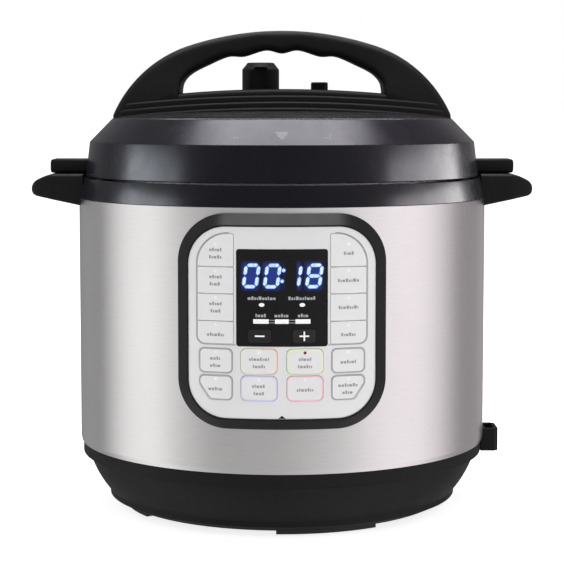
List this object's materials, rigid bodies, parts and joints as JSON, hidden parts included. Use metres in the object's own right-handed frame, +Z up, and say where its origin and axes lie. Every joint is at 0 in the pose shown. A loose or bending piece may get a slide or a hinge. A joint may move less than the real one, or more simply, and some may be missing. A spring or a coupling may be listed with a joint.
{
  "type": "electric pressure cooker",
  "caption": "Countertop electric pressure cooker: steel drum on a black base, convex key panel, removable inner pot, bayonet lid with arched handle and steam release.",
  "frame": {"origin": "on the pot's axis, on the surface that the feet rest on", "axes": "+Z up along the pot's axis, the control panel faces -Y, +X to the right of a person facing the panel and along the lid handle"},
  "size_m": [0.3394, 0.3106, 0.3186],
  "materials": {
    "brushed_steel_shell": "fine vertical reflections, brushed",
    "satin_steel": "satin stainless",
    "zinc_screw": "zinc plated",
    "black_gloss_plastic": "glossy black moulding",
    "black_satin_plastic": "fine-grained black moulding",
    "bezel_plastic": "satin black",
    "panel_silver": "fine silver film",
    "display_black": "clear-coated black",
    "key_silver": "silver film with a printed outline",
    "key_black": "black with a printed sign",
    "rubber_foot": "soft rubber",
    "silicone": "translucent silicone",
    "float_silicone": "red silicone",
    "cast_aluminium": "cast",
    "element_steel": "oxidised sheath",
    "galvanised_sheet": "galvanised sheet",
    "circuit_board": "green solder resist",
    "display_frame": "black",
    "inlet_black": "moulded",
    "fuse_ceramic": "ceramic sleeve",
    "wire_pvc": "insulated lead",
    "clear_plastic": "clear moulding"
  },
  "bodies": {
    "housing": {"accessory_socket": "black_satin_plastic", "base_screws": "zinc_screw", "base_shell": "black_satin_plastic", "collector_bracket": "black_satin_plastic", "control_board": "circuit_board", "display_module": "display_frame", "display_window": "display_black", "feet": "rubber_foot", "handle_left": "black_satin_plastic", "handle_right": "black_satin_plastic", "heat_shield": "galvanised_sheet", "heating_element": "element_steel", "heating_plate": "cast_aluminium", "outer_pot": "satin_steel", "outer_shell": "brushed_steel_shell", "panel_bezel": "bezel_plastic", "panel_face": "panel_silver", "power_board": "circuit_board", "power_inlet": "inlet_black", "pressure_switch": "galvanised_sheet", "sensor_bracket": "galvanised_sheet", "sensor_spring": "galvanised_sheet", "thermal_fuse": "fuse_ceramic", "top_collar": "black_gloss_plastic", "wiring_harness": "wire_pvc"},
    "collector": {"condensation_collector": "clear_plastic"},
    "inner_pot": {"inner_pot": "satin_steel"},
    "seal": {"sealing_ring": "silicone"},
    "lid": {"lid_cover": "black_gloss_plastic", "lid_handle": "black_satin_plastic", "inner_lid": "satin_steel", "seal_rack": "satin_steel", "lid_screws": "zinc_screw", "steam_pipe": "satin_steel", "anti_block_shield": "satin_steel", "float_guide": "black_satin_plastic"},
    "release_weight": {"release_weight": "satin_steel"},
    "release_knob": {"release_knob": "black_satin_plastic"},
    "float": {"float_valve": "satin_steel", "float_cap": "float_silicone"},
    "locking_pin": {"locking_pin": "satin_steel"},
    "sensor": {"temperature_sensor": "cast_aluminium"},
    "key_left_1": {"key_left_1": "key_silver"},
    "key_left_2": {"key_left_2": "key_silver"},
    "key_left_3": {"key_left_3": "key_silver"},
    "key_left_4": {"key_left_4": "key_silver"},
    "key_minus": {"key_minus": "key_black"},
    "key_plus": {"key_plus": "key_black"},
    "key_right_1": {"key_right_1": "key_silver"},
    "key_right_2": {"key_right_2": "key_silver"},
    "key_right_3": {"key_right_3": "key_silver"},
    "key_right_4": {"key_right_4": "key_silver"},
    "key_row1_1": {"key_row1_1": "key_silver"},
    "key_row1_2": {"key_row1_2": "key_silver"},
    "key_row1_3": {"key_row1_3": "key_silver"},
    "key_row1_4": {"key_row1_4": "key_silver"},
    "key_row2_1": {"key_row2_1": "key_silver"},
    "key_row2_2": {"key_row2_2": "key_silver"},
    "key_row2_3": {"key_row2_3": "key_silver"},
    "key_row2_4": {"key_row2_4": "key_silver"}
  },
  "joints": [
    {"name": "pot_lift", "type": "slide", "parent": "housing", "child": "inner_pot", "axis": [0, 0, 1], "range_m": [0, 0.18]},
    {"name": "lid_lift", "type": "slide", "parent": "inner_pot", "child": "seal", "axis": [0, 0, 1], "range_m": [0, 0.12]},
    {"name": "lid_turn", "type": "hinge", "parent": "seal", "child": "lid", "pos_m": [0, 0, 0.222], "axis": [0, 0, 1], "range_deg": [0, 30]},
    {"name": "release_lift", "type": "slide", "parent": "lid", "child": "release_weight", "axis": [0, 0, 1], "range_m": [0, 0.012]},
    {"name": "release_turn", "type": "hinge", "parent": "release_weight", "child": "release_knob", "pos_m": [-0.015, 0.045, 0.28], "axis": [0, 0, 1], "range_deg": [-45, 45]},
    {"name": "float_rise", "type": "slide", "parent": "lid", "child": "float", "axis": [0, 0, 1], "range_m": [0, 0.006]},
    {"name": "pin_slide", "type": "slide", "parent": "lid", "child": "locking_pin", "axis": [0, 1, 0], "range_m": [0, 0.003], "stiffness_N_per_m": 150},
    {"name": "sensor_press", "type": "slide", "parent": "housing", "child": "sensor", "axis": [0, 0, -1], "range_m": [0, 0.002], "stiffness_N_per_m": 900, "springref_m": -0.002, "deforming": ["sensor_spring"]},
    {"name": "collector_slide", "type": "slide", "parent": "housing", "child": "collector", "axis": [0, 0, -1], "range_m": [0, 0.042]},
    {"name": "key_left_1_press", "type": "slide", "parent": "housing", "child": "key_left_1", "axis": [0, 1, 0], "range_m": [0, 0.0004], "stiffness_N_per_m": 2500},
    {"name": "key_left_2_press", "type": "slide", "parent": "housing", "child": "key_left_2", "axis": [0, 1, 0], "range_m": [0, 0.0004], "stiffness_N_per_m": 2500},
    {"name": "key_left_3_press", "type": "slide", "parent": "housing", "child": "key_left_3", "axis": [0, 1, 0], "range_m": [0, 0.0004], "stiffness_N_per_m": 2500},
    {"name": "key_left_4_press", "type": "slide", "parent": "housing", "child": "key_left_4", "axis": [0, 1, 0], "range_m": [0, 0.0004], "stiffness_N_per_m": 2500},
    {"name": "key_minus_press", "type": "slide", "parent": "housing", "child": "key_minus", "axis": [0, 1, 0], "range_m": [0, 0.0004], "stiffness_N_per_m": 2500},
    {"name": "key_plus_press", "type": "slide", "parent": "housing", "child": "key_plus", "axis": [0, 1, 0], "range_m": [0, 0.0004], "stiffness_N_per_m": 2500},
    {"name": "key_right_1_press", "type": "slide", "parent": "housing", "child": "key_right_1", "axis": [0, 1, 0], "range_m": [0, 0.0004], "stiffness_N_per_m": 2500},
    {"name": "key_right_2_press", "type": "slide", "parent": "housing", "child": "key_right_2", "axis": [0, 1, 0], "range_m": [0, 0.0004], "stiffness_N_per_m": 2500},
    {"name": "key_right_3_press", "type": "slide", "parent": "housing", "child": "key_right_3", "axis": [0, 1, 0], "range_m": [0, 0.0004], "stiffness_N_per_m": 2500},
    {"name": "key_right_4_press", "type": "slide", "parent": "housing", "child": "key_right_4", "axis": [0, 1, 0], "range_m": [0, 0.0004], "stiffness_N_per_m": 2500},
    {"name": "key_row1_1_press", "type": "slide", "parent": "housing", "child": "key_row1_1", "axis": [0, 1, 0], "range_m": [0, 0.0004], "stiffness_N_per_m": 2500},
    {"name": "key_row1_2_press", "type": "slide", "parent": "housing", "child": "key_row1_2", "axis": [0, 1, 0], "range_m": [0, 0.0004], "stiffness_N_per_m": 2500},
    {"name": "key_row1_3_press", "type": "slide", "parent": "housing", "child": "key_row1_3", "axis": [0, 1, 0], "range_m": [0, 0.0004], "stiffness_N_per_m": 2500},
    {"name": "key_row1_4_press", "type": "slide", "parent": "housing", "child": "key_row1_4", "axis": [0, 1, 0], "range_m": [0, 0.0004], "stiffness_N_per_m": 2500},
    {"name": "key_row2_1_press", "type": "slide", "parent": "housing", "child": "key_row2_1", "axis": [0, 1, 0], "range_m": [0, 0.0004], "stiffness_N_per_m": 2500},
    {"name": "key_row2_2_press", "type": "slide", "parent": "housing", "child": "key_row2_2", "axis": [0, 1, 0], "range_m": [0, 0.0004], "stiffness_N_per_m": 2500},
    {"name": "key_row2_3_press", "type": "slide", "parent": "housing", "child": "key_row2_3", "axis": [0, 1, 0], "range_m": [0, 0.0004], "stiffness_N_per_m": 2500},
    {"name": "key_row2_4_press", "type": "slide", "parent": "housing", "child": "key_row2_4", "axis": [0, 1, 0], "range_m": [0, 0.0004], "stiffness_N_per_m": 2500}
  ]
}
